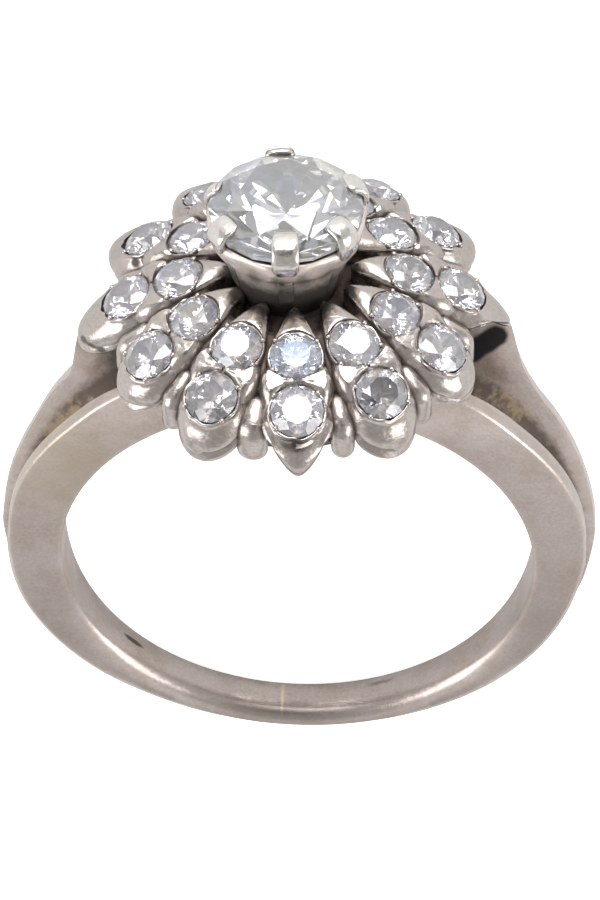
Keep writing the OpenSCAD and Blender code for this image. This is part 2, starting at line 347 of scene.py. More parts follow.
def shadePatchRow(count, step, colour, start, *others):
    # Like patches in a row, each a step on from the one before; both rows below are painted shade
    return [(colour, tuple(a + b * k for a, b in zip(start, step)), *others) for k in range(count)]


# Stains and patches of painted shade by finish, as [colour, centre in the upright ring, stretch, radius,
# ragged edge, share at full strength, strength, whether it dulls the metal]
stainsAndShade = {
    "satinWhiteGold": [
        # left groove: painted shade on its dark wall, and then yellowish dirt
        ((0.06, 0.044, 0.034), (-5.9, 0.4, 8.6), (1, 1, 1), 1.5, 0.7, 0.4, 0.85, True),
        ((0.34, 0.27, 0.19), (-7.4, 0.6, 9.2), (1, 1, 1), 1.3, 0.7, 0.2, 0.6, True),
        ((0.46, 0.39, 0.3), (-8.3, -1.7, 5.2), (0.6, 1, 0.6), 2.6, 0.6, 0.0, 0.5, False),   # shoulder
        # painted shade: the shank's front darker towards the bottom, and its two lower sides darker
        ((0.25, 0.21, 0.195), (0, -1.2, -9.9), (0.6, 4.0, 1.0), 6.4, 0.3, 0.0, 0.72, False),
        ((0.3, 0.26, 0.24), (8.9, -1.3, -3.6), (1, 1, 0.7), 2.9, 0.3, 0.0, 0.42, False),
        ((0.3, 0.26, 0.24), (-8.9, -1.3, -4.2), (1, 1, 0.7), 2.9, 0.3, 0.0, 0.25, False),
        ((0.68, 0.56, 0.4), (-0.7, 0.1, -8.5), (11, 1, 1), 1.0, 0.5, 0.3, 0.8, False),   # solder line
        ((0.05, 0.042, 0.038), (-6.15, 0.25, -5.85), (1, 4.2, 1), 0.6, 0.5, 0.55, 0.95, True),   # dent
        # scratches on the right, outside and inside
        ((0.17, 0.14, 0.12), (8.87, -1.15, 2.8), (3, 0.6, 1.2), 0.24, 0.8, 0.3, 0.7, False),
        ((0.2, 0.165, 0.145), (2.85, 0.4, -8.0), (0.6, 3, 1), 0.45, 1.6, 0.2, 0.7, False),
        # painted shadow: a black patch for the shaded pocket beside the right horn
        *shadePatchRow(4, (0.26, 0.04, 0.21), (0.006, 0.005, 0.005), (6.26, 0.79, 8.9), (0.9, 0.6, 0.75), 0.46,
                  0.25, 0.6, 1.0, True),
    ],
    "railWhiteGold": [   # the cup's dark lower part
        # painted shade darkening the cup's lower part
        ((0.01, 0.008, 0.007), (-0.22, 0, 12.2), (1, 1, 1), 3.7, 0.12, 0.78, 0.95, True),
    ],
    "prongWhiteGold": [   # the prongs' dark feet
        # painted shade darkening the prongs' feet
        ((0.02, 0.016, 0.014), (-0.22, 0, 14.3), (1, 1, 1.75), 2.8, 0.15, 0.8, 0.9, True),
    ],
    "polishedWhiteGold": [
        # painted shade: a dark V on the front petal's wall under the front stone
        ((0.04, 0.032, 0.03), (0.3, -6.85, 11.75), (0.5, 1, 1), 0.38, 0.3, 0.2, 0.85, False),   # front
        ((0.03, 0.024, 0.022), (-5.63, 1.61, 12.13), (1, 1, 1), 0.24, 0.4, 0.5, 0.9, True),   # left pit
        # painted shade in the crease under the left petal
        *shadePatchRow(3, (0.3, -0.2, -0.03), (0.05, 0.04, 0.034), (-7.3, -1.0, 10.86), (0.8, 0.8, 1.2), 0.24,
                  0.4, 0.4, 0.85, True),
    ],
}


def newMaterial(name):
    material = bpy.data.materials.new(name)
    material.use_nodes = True
    return material, material.node_tree, material.node_tree.nodes["Principled BSDF"]


def uprightPlace(tree):
    # The surface's place in the upright ring, in millimetres
    place = tree.nodes.new("ShaderNodeTexCoord").outputs["Object"]
    spot, turn, size = layDown.decompose()
    values = {"Vector": place, "Location": spot, "Rotation": turn.to_euler("XYZ"), "Scale": size}
    return put(tree, "ShaderNodeMapping", values, vector_type="TEXTURE").outputs[0]


def useGroup(tree, group, values):
    return put(tree, "ShaderNodeGroup", values, node_tree=group).outputs


def metalMaterial(name):
    look = {**metalBase, **metalFinish[name]}
    material, tree, shader = newMaterial(name)
    place = uprightPlace(tree)
    worn = useGroup(tree, grainGroup, {"Place": place, "Cloud": look["cloud"], "Grain": look["grain"]})
    values = {"Place": place, "Reach": look["reach"], "Open": look["open"], "Full": look["full"]}
    dirtAndShade = useGroup(tree, dirtAndShadeGroup, values)["Mask"]
    wearHighlight = useGroup(tree, wearHighlightGroup, {"Width": look["edge"]})["Mask"]
    tone = spread(tree, worn["Tone"], *look["toneEdge"])
    colour = blend(tree, tone, (*look["colour"], 1), (*look["warm"], 1))
    speckle = spread(tree, worn["Grain"], *look["grainEdge"], 1 - look["speckle"], 1 + look["speckle"])
    colour = blend(tree, 1.0, colour, speckle, "MULTIPLY")
    # rubbed edges get a lighter colour: wear, and a painted highlight
    colour = blend(tree, calc(tree, "MULTIPLY", wearHighlight, look["wearHighlightShare"]), colour, (*look["rubbedHighlight"], 1))
    dull = dirtAndShade
    for patchColour, *spot, strength, dulls in stainsAndShade.get(name, []):
        values = dict(zip(("Centre", "Stretch", "Radius", "Ragged", "Core"), spot), Place=place)
        mask = calc(tree, "MULTIPLY", useGroup(tree, spotGroup, values)["Mask"], strength)
        colour = blend(tree, mask, colour, (*patchColour, 1))
        if dulls:
            dull = calc(tree, "MAXIMUM", dull, mask)
    # the groove's dark part is dirt and painted shade, its yellow part dirt
    if "groove" in look:
        groove = useGroup(tree, grooveGroup, {"Place": place, "Top": look["groove"]})
        mask = calc(tree, "MULTIPLY", groove["Mask"], grooveDirtAndShade["strength"])
        grimeAndShade = blend(tree, groove["Yellow"], grooveDirtAndShade["dark"], grooveDirtAndShade["yellow"])
        colour = blend(tree, mask, colour, grimeAndShade)
        dull = calc(tree, "MAXIMUM", dull, mask)
    # the colour darkens where surfaces meet: recess dirt and painted shade
    colour = blend(tree, calc(tree, "MULTIPLY", dirtAndShade, look["dirtAndShadeShare"]), colour, (*look["dirtAndShade"], 1))
    metallic = calc(tree, "MULTIPLY_ADD", dull, -look["dirtAndShadeDulls"], 1.0, clamp=True)
    rough = calc(tree, "MULTIPLY_ADD", worn["Tone"], look["toneRough"], look["rough"] - look["toneRough"] / 2)
    rough = calc(tree, "MULTIPLY_ADD", wearHighlight, -look["rub"], rough)
    rough = calc(tree, "MULTIPLY_ADD", dull, look["dirtAndShadeRough"], rough, clamp=True)
    height = calc(tree, "MULTIPLY_ADD", worn["Scratches"], -look["scratchDepth"], worn["Grain"])
    swell = noise(tree, place, *look["waveNoise"])
    height = calc(tree, "MULTIPLY_ADD", swell, look["waveHeight"] * look["wave"], height)
    values = {"Strength": look["bump"], "Distance": look["bumpDistance"], "Height": height}
    normal = put(tree, "ShaderNodeBump", values).outputs["Normal"]
    fill(tree, shader, {"Base Color": colour, "Metallic": metallic, "Roughness": rough, "Normal": normal})
    return material


metals = {name: metalMaterial(name) for name in metalFinish}
print("metal finishes made")

# Angles are in degrees from the bottom of the ring, and heights are above the finger hole's centre
band = {
    "fingerR": 8.5, "shoulderR": 10.6, "lift": 0.12, "bottomR": 9.25, "sideR": 10.55, "floorR": 9.6,
    # half widths of the faces and the groove, by height
    "nearWidths": [(-10, 0.72), (-6.5, 0.74), (-3, 0.87), (0, 1.15), (9.2, 2.0), (10.6, 1.5), (30, 1.5)],
    "farWidths": [(-10, 0.76), (-6.5, 0.8), (-3, 0.95), (0, 1.15), (9.2, 1.8), (10.6, 1.3), (30, 1.3)],
    "slant": 0.08,
    "groove": [(-1.7, 0.02), (0, 0.38), (9.2, 1.2), (10.6, 0.7), (30, 0.7)], "grooveShift": -0.15,
    # the groove's depth share by height, and where its far wall bends
    "grooveDepth": [(-2.2, 0.0), (0.4, 1.0)], "grooveBlur": 0.6, "wallFoot": 0.55, "wallKnee": (0.45, 0.16),
    "floorInset": 0.03,
    # the rise of the near and the far branch by angle
    "nearRise": {
        "left": [(0, 0), (25, 0.1), (36, 0.13), (49, 0.25), (62, 0.25), (74, 0.18), (83, 0.02), (92, -0.16)],
        "right": [(0, 0), (20, 0.07), (34, 0.1), (48, 0.11), (62, 0.03), (74, -0.1), (83, -0.2), (92, -0.22)],
    },
    "nearRiseOn": [(100, -0.12), (108, -0.03), (116, 0.02), (132, 0.02), (141, 0.12), (150, 0.05), (160, 0)],
    "farRise": {
        "left": [(60, 0), (78, 0.1), (92, 0.12), (104, 0), (110, -0.08), (117, -0.14), (124, -0.05),
                 (130, 0)],
        "right": [(60, 0), (78, 0.1), (92, 0.12), (104, 0.02), (112, 0)],
    },
    "riseBlur": 3,
    # the horns that carry the side petals, as [angle, radius]
    "horn": {
        "left": [(126, 10.53), (130.6, 10.57), (132.6, 10.69), (134.6, 10.97), (139.6, 11.78), (143, 12.35),
                 (146, 12.55), (149.5, 12.0), (154, 10.5)],
        "right": [(123.4, 10.6), (128.9, 10.75), (131.6, 10.87), (136.1, 11.25), (138.6, 11.65),
                  (140.9, 12.07), (142.9, 12.4), (145, 12.7), (147.3, 12.9), (150, 12.2), (155, 10.5)],
    },
    "hornBlur": 2.2, "hornLead": 6,
    "ridge": [(95, 0), (110, 0.12), (125, 0.2), (145, 0.15), (155, 0)],
    # how softly the section's edges are rounded and how far its faces bulge, by angle
    "softness": [(0, 0.22), (50, 0.2), (80, 0.13), (110, 0.07), (180, 0.05)], "softLimit": 0.36,
    "bulge": [(0, 0.07), (60, 0.07), (110, 0.05), (180, 0.03)],
    "edgeDrop": 0.6, "edgeBulge": 0.5, "rimBulge": 0.4, "farSoft": 0.5, "farCurve": 0.3,
    # the rounding of the finger hole's near edge, along the finger and out, and its curve's shares
    "rim": [(0, 0.68), (40, 0.6), (65, 0.3), (85, 0.12), (110, 0.05), (180, 0.05)],
    "rimOut": [(0, 0.46), (40, 0.42), (65, 0.25), (85, 0.12), (110, 0.06), (180, 0.05)],
    "rimCurve": [(0, 1), (0.13, 0.5), (0.5, 0.134)],
    "corners": 19, "steps": 240,
    "bevel": (0.07, 3, 30),   # width, segments and angle
}


def bandOuter(angle):
    reach = []
    shift = (band["sideR"] ** 2 - band["bottomR"] ** 2) / (2 * band["bottomR"])
    for centreZ, radius in ((band["lift"], band["shoulderR"]), (shift, band["bottomR"] + shift)):
        along = -cos(angle) * centreZ
        reach.append(along + sqrt(radius ** 2 - centreZ ** 2 + along ** 2))
    return min(reach)


def bandPoint(corner, angle):
    # A corner of the band's section at this angle, counted from the finger hole's near edge
    outer, finger = bandOuter(angle), band["fingerR"]
    turned = abs(degrees(angle))
    side = "right" if angle > 0 else "left"
    horn = band["horn"][side]
    near = outer + eased(band["nearRise"][side] + band["nearRiseOn"], turned, band["riseBlur"])
    far = outer + eased(band["farRise"][side], turned, band["riseBlur"])
    if horn[0][0] - band["hornLead"] < turned < horn[-1][0]:
        far = max(far, eased(horn, turned, band["hornBlur"]))
    height, innerHeight = -outer * cos(angle), -finger * cos(angle)
    slant = band["slant"] * sin(angle)
    innerHalf, half = (eased(band["nearWidths"], z) + slant for z in (innerHeight, height))
    farInner, farHalf = (eased(band["farWidths"], z) for z in (innerHeight, -far * cos(angle)))
    groove = between(band["groove"], height)
    depth = eased(band["grooveDepth"], height, band["grooveBlur"])
    front, back = band["grooveShift"] - groove, band["grooveShift"] + groove
    ridge = far + between(band["ridge"], turned)
    floor = outer + (band["floorR"] - outer) * depth
    soft, bulge, rim, rimOut = (between(band[key], turned) for key in ("softness", "bulge", "rim", "rimOut"))
    soft = min(soft, band["softLimit"] * (near - finger))
    farSoft, farCurve = band["farSoft"] * soft, band["farCurve"]
    kneeUp, kneeIn = band["wallKnee"]
    spots = [(finger + out * rimOut, -innerHalf + along * rim) for out, along in band["rimCurve"]]
    spots += [
        # near face
        (finger + rimOut, -innerHalf - band["rimBulge"] * bulge),
        ((finger + rimOut + near) / 2, -(half + innerHalf) / 2 - bulge),
        (near - soft, -half - band["edgeBulge"] * bulge), (near, -half + band["edgeDrop"] * soft),
        # groove
        (near, front), (floor, front + band["floorInset"]), (floor, back - band["wallFoot"] * groove * depth),
        (floor + kneeUp * (ridge - floor), back - kneeIn * groove * depth), (ridge, back),
        # far face
        (far, farHalf - band["edgeDrop"] * farSoft), (far - farSoft, farHalf + band["edgeBulge"] * bulge),
        ((finger + far) / 2, (farHalf + farInner) / 2 + bulge),
        (finger + farSoft, farInner + farCurve * bulge),
        (finger + farCurve * farSoft, farInner - farCurve * farSoft), (finger, farInner - farSoft),
        (finger, 0),   # the middle of the finger hole's wall
    ]
    radius, y = spots[corner]
    return Vector((radius * sin(angle), y, -radius * cos(angle)))


def makeBand():
    bm = bmesh.new()
    mark = bm.verts.layers.int.new("corner")
    loop = [bm.verts.new(bandPoint(corner, 0)) for corner in range(band["corners"])]
    for corner, vert in enumerate(loop):
        vert[mark] = corner
    edges = [bm.edges.new(pair) for pair in zip(loop, loop[1:] + loop[:1])]
    geom, steps = loop + edges, band["steps"]
    bmesh.ops.spin(bm, geom=geom, axis=(0, 1, 0), angle=2 * pi, steps=steps, use_merge=True)
    for vert in bm.verts:
        vert.co = bandPoint(vert[mark], atan2(vert.co.x, -vert.co.z))
    finishPiece("ringBand", bm, metals["satinWhiteGold"], bevel=band["bevel"])


makeBand()
print("band made")

# The flower's dome and where the stones lie on it, as the solids have them
flower = {"turn": 3.4, "count": 12, "domeR": 11.7, "tipR": 2.0, "outerX": 5.85, "outerZ": 12.35,
          "innerX": 4.05, "outerRim": 1.262, "innerRim": 1.01, "outerRimX": 5.8, "innerRimX": 4.05}
flower["domeZ"] = flower["outerZ"] - sqrt(flower["domeR"] ** 2 - flower["outerX"] ** 2)


def domeHeight(radius, domeR=flower["domeR"]):
    return flower["domeZ"] + sqrt(domeR ** 2 - radius ** 2)


def domeSquash(radius):
    # How much the dome's slope shortens what lies on it, seen from above
    return cos(asin(radius / flower["domeR"]))


def roundStone(stoneX, radius, direction):
    # A point round a stone that lies on the dome
    angle = radians(direction)
    return stoneX + radius * domeSquash(stoneX) * cos(angle), radius * sin(angle)


def petalTurn(index, offset=0.0):
    angle = radians(flower["turn"] - 90 + (index + offset) * 360 / flower["count"])
    return Matrix.Rotation(angle, 4, "Z")


# Petals count from the front one, 0, round by the right
petal = {
    "shellR": 10.73, "fullDepth": 1.25,
    # rims round the outer and inner stone as [distance from the stone's middle, depth under the dome]
    "outerCup": [(0.0, 0.95), (0.5, 0.9), (0.86, 0.16), (0.925, 0.0), (0.95, -0.035), (0.99, -0.045),
                 (1.02, -0.03), (1.035, 0.0), (1.02, 0.08), (1.03, 0.15), (1.09, 0.24), (1.17, 0.36),
                 (1.225, 0.5), (1.255, 0.64), (1.262, 0.76), (1.25, 0.82), (1.215, 0.86), (1.235, 0.9),
                 (1.262, 0.97), (1.25, 1.07), (1.19, 1.18), (1.08, 1.24), (0.9, 1.25), (0.0, 1.25)],
    "innerCup": [(0.0, 0.9), (0.45, 0.85), (0.83, 0.15), (0.89, 0.01), (0.91, -0.025), (0.945, -0.035),
                 (0.975, -0.01), (0.99, 0.06), (1.01, 0.2), (1.01, 1.2), (0.9, 1.25), (0.0, 1.25)],
    "outerSteps": 56, "innerSteps": 36, "outerSeat": 1.03, "innerSeat": 0.97,
    "seatDepth": 0.1, "footDepth": 1.2,
    # unevenness of rims and pads, with the rims' waves as [size, count, shift by petal, shift by stone]
    "uneven": 0.022, "wavesFrom": 0.88, "waves": [(1, 5, 1.7, 0), (1, 9, 2.9, 1), (0.7, 14, 4.1, 0)],
    "sideWaves": (0.006, 7, 3.3),
    # how far the walls draw in at the bottom
    "drawIn": 0.16, "drawFrom": 6.2,
    # the front petal's pointed lower edge as [half width, height], and its belly
    "point": [(0.0, 10.27), (0.08, 10.3), (0.34, 10.55), (0.74, 11.15), (1.0, 11.7), (1.25, 12.1)],
    "pointFrom": 6.0, "pointThick": 0.3, "belly": 0.26, "bellyHalf": 0.85, "bellyFrom": 0.12,
    # pockets in the walls as petal: (direction, spread, depth share, push)
    "pockets": {1: (-40, 38, 0.64, 0.16), 2: (-60, 30, 0.7, 0.1), 10: (20, 30, 0.62, 0.06),
                11: (42, 40, 0.66, 0.16)},
    "pocketHalf": 0.13, "pocketFrom": 1.0,
    # the side petals reach further out and down to the horns, as [depth share, reach]
    "flare": {3: [(0.0, 0.3), (0.25, 0.42), (0.6, 0.5), (1.0, 0.56)],
              4: [(0.0, 0.6), (0.3, 0.42), (0.6, 0.15), (1.0, -0.1)],
              5: [(0.0, 0.36), (0.3, 0.3), (1.0, 0.0)],
              7: [(0.0, 0.85), (0.3, 0.5), (1.0, 0.0)],
              8: [(0.0, 0.8), (0.3, 0.48), (0.6, 0.15), (1.0, -0.1)],
              9: [(0.0, 0.4), (0.25, 0.52), (0.6, 0.56), (1.0, 0.5)]},
    "flareLength": 1.2, "flareBlur": 0.2, "flareAbove": -0.06, "flareTop": (0.35, 4),
    "corner": {7: 0.1, 8: 0.3}, "cornerHalf": 0.8,   # how far their back corner stands out
    # they drop, and the right one lifts at its front side
    "drop": {3: 0.7, 9: 0.3}, "dropSteep": 1.6, "openPetal": 3, "openFrom": -1.26, "openOver": 2, "lift": 1.3,
    "deeper": {1: 0.36, 11: 0.28}, "deeperFrom": 5.4,
    # beads that hold the stones, as [distance from the stone's middle, directions]
    "beadR": 0.11, "beadDepth": -0.05,
    "outerBeads": (0.965, (48, -52, 131, -127)), "innerBeads": (0.93, (64, -60, 128, -133)),
    "bevel": (0.02, 2, 32),
}


def petalLift(x, y, depth, index=None):
    # A point at this depth under the dome, in a petal along +X; a plain petal has no index
    radius = hypot(x, y)
    top = domeHeight(radius)
    low = domeHeight(radius, petal["shellR"])
    share = depth / petal["fullDepth"]
    low -= petal["deeper"].get(index, 0) * clamped(x - petal["deeperFrom"])
    if index == 0 and x > petal["pointFrom"]:
        low = min(max(low, between(petal["point"], abs(y))), top - petal["pointThick"])
        if share > petal["bellyFrom"]:
            across = max(0.0, 1 - (abs(y) / petal["bellyHalf"]) ** 1.6)
            x += petal["belly"] * across * sin(pi * min(1.0, share) ** 0.7) ** 0.8
    elif index in petal["flare"] and x > flower["outerX"]:
        out = (x - flower["outerX"]) / petal["flareLength"]
        closed = clamped((y - petal["openFrom"]) / petal["openOver"]) if index == petal["openPetal"] else 1.0
        fall = petal["lift"] * (1 - closed) - petal["drop"].get(index, 0) * closed
        low += min(1.0, petal["dropSteep"] * out) * fall
        if depth > petal["flareAbove"]:
            start, growth = petal["flareTop"]
            reach = eased(petal["flare"][index], share, petal["flareBlur"])
            x += reach * out * min(1.0, start + share * growth)
            aside = clamped(-y / petal["cornerHalf"])
            y -= petal["corner"].get(index, 0) * min(1.0, out) * aside * (1 - share)
    elif depth > 0 and x > petal["drawFrom"]:
        x -= petal["drawIn"] * share ** 1.5
    z = top - depth if depth <= 0 else top + (low - top) * share
    return Vector((x, y, z))


def pocketPush(index, x, y, share):
    # How far a pocket draws the wall in, round the outer stone
    direction, spreadOut, middle, push = petal["pockets"][index]
    off = degrees(atan2(y, x)) - direction
    upright = max(0.0, 1 - ((share - middle) / petal["pocketHalf"]) ** 2)
    return push * max(0.0, 1 - (off / spreadOut) ** 2) * upright


def addCup(bm, which, index):
    # The rim and wall round a stone, which lean with the dome inside and stand upright outside
    before = set(bm.verts)
    spinProfile(bm, petal[which + "Cup"], petal[which + "Steps"])
    stoneX, rimX, rimR = (flower[which + key] for key in ("X", "RimX", "Rim"))
    seat, squash = petal[which + "Seat"], domeSquash(stoneX)
    for vert in set(bm.verts) - before:
        depth, rho = vert.co.z, vert.co.to_2d().length
        t = 1.0 if depth > petal["footDepth"] else clamped((rho - seat) / (rimR - seat))
        if depth < petal["seatDepth"] and rho > petal["wavesFrom"]:
            turn = atan2(vert.co.y, vert.co.x)
            uneven = sum(size * sin(count * turn + shift * index + own * stoneX)
                         for size, count, shift, own in petal["waves"])
            depth += petal["uneven"] * uneven
            size, count, shift = petal["sideWaves"]
            vert.co.xy *= 1 + size * sin(count * turn + shift * index)
        if which == "outer" and index in petal["pockets"] and rho > petal["pocketFrom"]:
            vert.co.xy *= 1 - pocketPush(index, vert.co.x, vert.co.y, depth / petal["fullDepth"]) / rho
        x = (stoneX + (rimX - stoneX) * t) + vert.co.x * (squash + (1 - squash) * t)
        vert.co = petalLift(x, vert.co.y, depth, index)


def addPatch(bm, grid, shape, index=None):
    # A small solid patch on the dome: shape gives (x, y, depth) for two shares from 0 to 1
    part = bmesh.new()
    bmesh.ops.create_grid(part, x_segments=grid[0], y_segments=grid[1], size=0.5)
    rim = [edge for edge in part.edges if edge.is_boundary]
    for vert in part.verts:
        vert.co = shape(vert.co.x + 0.5, vert.co.y + 0.5)
    made = bmesh.ops.extrude_edge_only(part, edges=rim)["geom"]
    for vert in made:
        if isinstance(vert, bmesh.types.BMVert):
            vert.co.z = petal["footDepth"]
    bmesh.ops.holes_fill(part, edges=[g for g in made if isinstance(g, bmesh.types.BMEdge)], sides=0)
    for vert in part.verts:
        vert.co = petalLift(vert.co.x, vert.co.y, vert.co.z, index)
    bmesh.ops.remove_doubles(part, verts=part.verts, dist=0.001)
    joinPart(bm, part)


# The pointed inner end, from its tip to the rim of the inner stone
tip = {"grid": (10, 12), "reach": 0.985, "half": 0.85, "pointHalf": 0.27, "pointRound": 0.2,
       "height": 0.14, "crown": 0.2, "edge": 0.2, "fall": 0.3}


def tipShape(u, v):
    v = 2 * v - 1
    arc = sqrt(tip["reach"] ** 2 - (tip["half"] * v) ** 2)
    arcX = flower["innerX"] - domeSquash(flower["innerX"]) * arc
    x = flower["tipR"] + (arcX - flower["tipR"]) * u + tip["pointRound"] * v * v * (1 - u) ** 2
    y = v * (tip["pointHalf"] + (tip["half"] - tip["pointHalf"]) * u ** 0.9)
    depth = -tip["height"] + tip["crown"] * abs(v) * (1 - 0.5 * u)
    depth += tip["edge"] * abs(v) ** 5 * (1.1 - 0.6 * u)
    depth += tip["fall"] * (1 - u) ** 4
    return Vector((x, y, depth))


# A polished pad between the two stones, out to the next petal's pad, with arcs round the stones as
# [start, turn] in degrees and edges that roll off as [depth, from, over]
pad = {"grid": (7, 9), "innerR": 0.92, "outerR": 0.95, "innerArc": (3, 77), "outerArc": (177, -71),
       "swell": (0.3, 0.08), "height": 0.2, "farEdge": (0.34, 0.8, 0.2), "stoneEdge": (0.1, 0.75, 0.25),
       "waves": (15, 10)}


def rollOff(share, depth, start, over):
    return depth * max(0.0, (share - start) / over) ** 1.5


def padShape(side, index):
    def shape(u, v):
        inner, outer = (start + turn * v for start, turn in (pad["innerArc"], pad["outerArc"]))
        innerX, innerY = roundStone(flower["innerX"], pad["innerR"], inner)
        outerX, outerY = roundStone(flower["outerX"], pad["outerR"], outer)
        swell, swellEnds = pad["swell"]
        x = (1 - u) * innerX + u * outerX
        y = (1 - u) * innerY + u * outerY + (swell * sin(pi * u) + swellEnds) * v * v
        depth = -pad["height"] + rollOff(v, *pad["farEdge"]) + rollOff(abs(2 * u - 1), *pad["stoneEdge"])
        wavesU, wavesV = pad["waves"]
        wave = petal["uneven"] * sin(wavesU * u + 4 * index)
        depth += wave * sin(wavesV * v + 3 * index + side)
        return Vector((x, y * side, depth))

    return shape


def addPetal(bm, index):
    part = bmesh.new()
    addCup(part, "outer", index)
    addCup(part, "inner", index)
    addPatch(part, tip["grid"], tipShape, index)
    for side in (1, -1):
        addPatch(part, pad["grid"], padShape(side, index), index)
    for which in ("outer", "inner"):
        radius, directions = petal[which + "Beads"]
        for direction in directions:
            spot = petalLift(*roundStone(flower[which + "X"], radius, direction), petal["beadDepth"])
            place = Matrix.Translation(spot)
            bmesh.ops.create_icosphere(part, subdivisions=2, radius=petal["beadR"], matrix=place)
    joinPart(bm, part, petalTurn(index))


def makePetals():
    bm = bmesh.new()
    for index in range(flower["count"]):
        addPetal(bm, index)
    finishPiece("petals", bm, metals["polishedWhiteGold"], bevel=petal["bevel"], merge=0.0005)


makePetals()
print("petals made")


def sweep(bm, rows, sides=20, squareness=1.0):
    # Carries a flattened circle along rows of [x, z, half width along Y, half thickness]
    points = [Vector((x, 0, z)) for x, z, wide, thick in rows]
    rings = []
    for i, (point, (x, z, wide, thick)) in enumerate(zip(points, rows)):
        ahead = (points[min(i + 1, len(points) - 1)] - points[max(i - 1, 0)]).normalized()
        aside = Vector((0, 1, 0))
        axes = Matrix((aside, ahead.cross(aside), ahead)).transposed().to_4x4()
        ring = bmesh.ops.create_circle(bm, segments=sides, radius=1)["verts"]
        for vert in ring:
            vert.co.x = copysign(abs(vert.co.x) ** squareness, vert.co.x) * wide
            vert.co.y = copysign(abs(vert.co.y) ** squareness, vert.co.y) * thick
        bmesh.ops.transform(bm, matrix=Matrix.Translation(point) @ axes, verts=ring)
        rings.append(ring)
    for pair in zip(rings, rings[1:]):
        edges = []
        for ring in pair:
            linked = {edge for vert in ring for edge in vert.link_edges}
            edges += [edge for edge in linked if set(edge.verts) <= set(ring)]
        bmesh.ops.bridge_loops(bm, edges=edges)
    for ring in (rings[0], rings[-1]):
        bmesh.ops.contextual_create(bm, geom=ring)


bars = {
    "x": 6.02, "innerX": 5.2, "drop": 0.9, "bottom": 10.59, "radius": 0.42, "wide": {0: 0.42, 11: 0.55},
    "roundSteps": 5, "least": 0.02,
    # the bend into the flower, and its end as [inwards, up, width share, thickness share]
    "bendBelow": 0.1, "bendR": 0.35, "bendTurn": 55, "bendSteps": 4,
    "end": [(0, 0.2, 0.8, 0.9), (-0.3, 0.35, 0.3, 0.3)],
}


def makeBars():
    bm = bmesh.new()
    bendZ = domeHeight(bars["x"]) - bars["drop"] - bars["bendBelow"]
    innerZ = domeHeight(bars["innerX"]) - bars["drop"]
    r, least, bendR = bars["radius"], bars["least"], bars["bendR"]
    for index in range(flower["count"]):
        half = bars["wide"].get(index, r)
        rows = []
        for k in range(bars["roundSteps"] + 1):   # round lower end
            a = radians(90 * k / bars["roundSteps"])
            z = bars["bottom"] - r * cos(a)
            rows.append((bars["x"], z, max(least, half * sin(a)), max(least, r * sin(a))))
        for k in range(bars["bendSteps"] + 1):
            a = radians(bars["bendTurn"] * k / bars["bendSteps"])
            rows.append((bars["x"] - bendR * (1 - cos(a)), bendZ + bendR * sin(a), half, r))
        for x, z, wide, thick in bars["end"]:
            rows.append((bars["innerX"] + x, innerZ + z, half * wide, r * thick))
        part = bmesh.new()
        sweep(part, rows)
        joinPart(bm, part, petalTurn(index, 0.5))
    finishPiece("bars", bm, metals["polishedWhiteGold"], merge=0.0005)


makeBars()
print("bars made")

# Dish, drum, and the web between petals as [distance from the middle, half width]
gallery = {
    "dishR": 5.95, "dishTop": 10.83, "dishT": 0.4, "dishRows": 12, "steps": 72,
    "drumR": 4.6, "drumT": 0.6, "drumZ": 9.3, "drumTop": 11.5, "drumInnerTop": 11.8,
    "web": [(3.05, 0.42), (3.5, 0.27), (3.85, 0.1), (4.3, 0.1), (5.1, 0.2)],
    "webDepth": 0.2, "webGrid": (10, 2),
}


def webShape(u, v):
    start, end = gallery["web"][0][0], gallery["web"][-1][0]
    x = start + (end - start) * u
    return Vector((x, (2 * v - 1) * between(gallery["web"], x), gallery["webDepth"]))


def makeGallery():
    bm = bmesh.new()
    radii = [gallery["dishR"] * k / gallery["dishRows"] for k in range(gallery["dishRows"] + 1)]
    top = [(r, domeHeight(r, gallery["dishTop"])) for r in radii]
    under = [(r, z - gallery["dishT"]) for r, z in reversed(top)]
    spinProfile(bm, top + under, gallery["steps"])
    outerR, innerR, low = gallery["drumR"], gallery["drumR"] - gallery["drumT"], gallery["drumZ"]
    drum = [(outerR, low), (outerR, gallery["drumTop"]), (innerR, gallery["drumInnerTop"]), (innerR, low)]
    spinProfile(bm, drum + drum[:1], gallery["steps"])
    for index in range(flower["count"]):
        web = bmesh.new()
        addPatch(web, gallery["webGrid"], webShape)
        joinPart(bm, web, petalTurn(index, 0.5))
    # the gallery's dark colour is painted shade
    finishPiece("gallery", bm, metals["recessPaintedShade"])


makeGallery()
print("gallery made")

